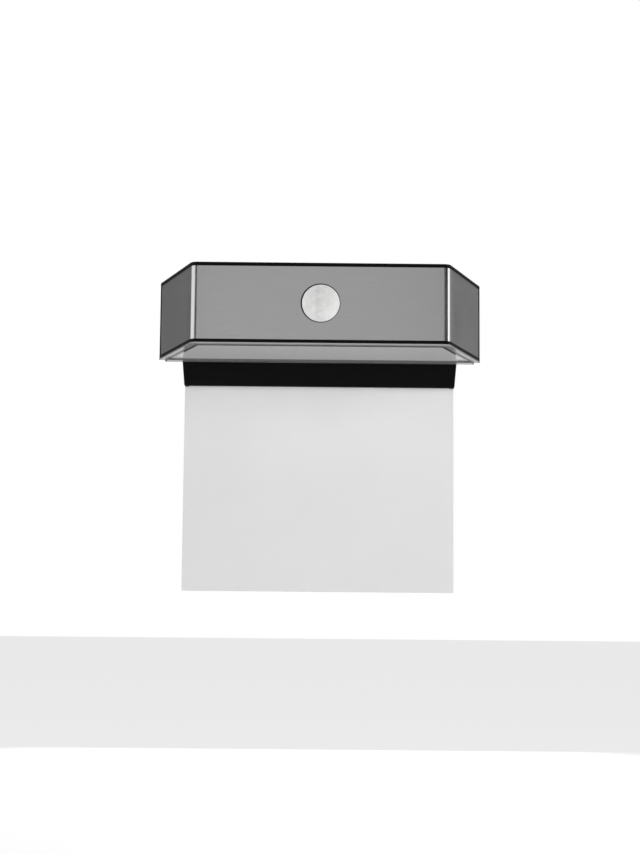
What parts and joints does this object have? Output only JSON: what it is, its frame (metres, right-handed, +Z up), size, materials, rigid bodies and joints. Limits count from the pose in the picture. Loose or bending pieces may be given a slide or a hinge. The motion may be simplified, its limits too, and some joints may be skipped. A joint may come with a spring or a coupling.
{
  "type": "solar fence light",
  "caption": "Solar wall light with a trapezoid steel-clad head, motion sensor, opal underside and a blank opal number panel hanging below a black bar.",
  "frame": {"origin": "on the wall face of the bracket, halfway between its two screw holes, level with the middle of the motion sensor", "axes": "+X to the right seen from the front, +Y into the wall, +Z up; the front with the sensor faces -Y"},
  "size_m": [0.1994, 0.0806, 0.1907],
  "materials": {
    "black_plastic": "fine satin grain",
    "brushed_steel": "brushed along the strip",
    "opal_panel": "opal, satin",
    "opal_diffuser": "opal, smooth",
    "lens_plastic": "translucent white",
    "white_plastic": "white",
    "seal_rubber": "soft black",
    "solar_glass": "clear",
    "solar_silicon": "dark blue",
    "circuit_board": "green solder mask",
    "diode_board": "white solder mask",
    "diode_body": "yellow phosphor",
    "sensor_can": "plated",
    "battery_sleeve": "shrink sleeve",
    "nickel_strip": "nickel plated",
    "chip_plastic": "moulded",
    "capacitor_can": "drawn can",
    "socket_nylon": "natural",
    "lead_cover": "insulated wire",
    "switch_metal": "tinned",
    "knob_plastic": "grey",
    "zinc_plate": "zinc plated sheet",
    "screw_steel": "plated"
  },
  "bodies": {
    "bracket": {"wall_bracket": "zinc_plate"},
    "lamp": {"steel_band": "brushed_steel", "housing": "black_plastic", "top_seal": "seal_rubber", "bottom_seal": "seal_rubber", "solar_frame": "black_plastic", "solar_glass": "solar_glass", "solar_backing": "circuit_board", "solar_cells": "solar_silicon", "diffuser": "opal_diffuser", "diffuser_trim": "black_plastic", "reflector": "white_plastic", "led_board": "diode_board", "diodes": "diode_body", "sensor_lens": "lens_plastic", "lens_seal": "seal_rubber", "lens_retainer": "black_plastic", "motion_sensor": "sensor_can", "sensor_board": "circuit_board", "battery": "battery_sleeve", "battery_contacts": "nickel_strip", "battery_strap": "black_plastic", "control_board": "circuit_board", "control_chips": "chip_plastic", "control_capacitors": "capacitor_can", "control_sockets": "socket_nylon", "battery_leads": "lead_cover", "solar_leads": "lead_cover", "diode_leads": "lead_cover", "sensor_leads": "lead_cover", "switch_leads": "lead_cover", "switch_case": "switch_metal", "switch_board": "circuit_board", "rear_box": "black_plastic", "number_panel": "opal_panel", "panel_clamp": "black_plastic", "frame_screws": "screw_steel", "rear_screws": "screw_steel", "light_screws": "screw_steel", "board_screws": "screw_steel", "sensor_screws": "screw_steel", "switch_screws": "screw_steel", "clamp_screws": "screw_steel"},
    "mode": {"mode_knob": "knob_plastic", "switch_slider": "chip_plastic"}
  },
  "joints": [
    {"name": "lift_off", "type": "slide", "parent": "bracket", "child": "lamp", "axis": [0, 0, 1], "range_m": [0, 0.009]},
    {"name": "mode_slide", "type": "slide", "parent": "lamp", "child": "mode", "axis": [1, 0, 0], "range_m": [-0.003, 0.003]}
  ]
}
